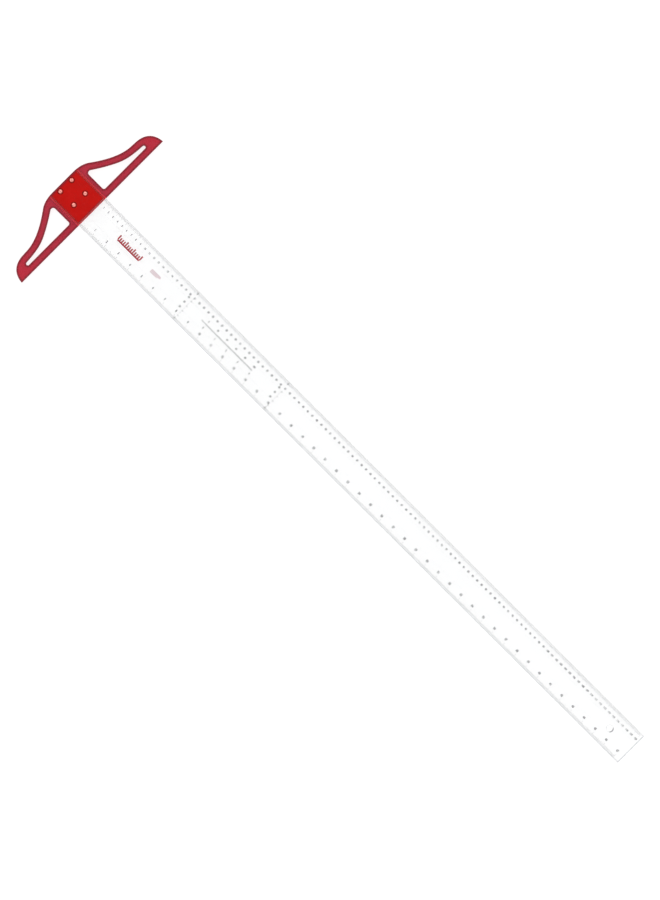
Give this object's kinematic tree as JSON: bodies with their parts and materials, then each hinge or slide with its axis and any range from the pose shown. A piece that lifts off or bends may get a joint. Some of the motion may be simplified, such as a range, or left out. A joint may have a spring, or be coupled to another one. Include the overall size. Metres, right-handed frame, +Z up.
{
  "type": "t-square",
  "caption": "Long clear T-square with a bevelled blade, a red moulded head with two swept arms and long windows, and a screwed cover plate.",
  "frame": {"origin": "on the head's working edge, at the blade's centre line, level with the blade's underside", "axes": "+X runs along the blade from the working edge to the tip, +Y along the working edge towards the centimetre edge, +Z up from the drawing surface"},
  "size_m": [1.27, 0.311, 0.0145],
  "materials": {
    "head_plastic": "translucent crimson moulded plastic, satin gloss",
    "plate_plastic": "opaque scarlet sheet, gloss",
    "clear_acrylic": "clear polished acrylic with printed scales",
    "screw_nickel": "nickel plated, polished",
    "nut_steel": "zinc plated"
  },
  "bodies": {
    "root": {"head": "head_plastic", "blade": "clear_acrylic", "cover_plate": "plate_plastic", "clamp_screw_1": "screw_nickel", "clamp_screw_2": "screw_nickel", "clamp_screw_3": "screw_nickel", "clamp_screw_4": "screw_nickel", "clamp_nut_1": "nut_steel", "clamp_nut_2": "nut_steel", "clamp_nut_3": "nut_steel", "clamp_nut_4": "nut_steel"}
  },
  "joints": []
}
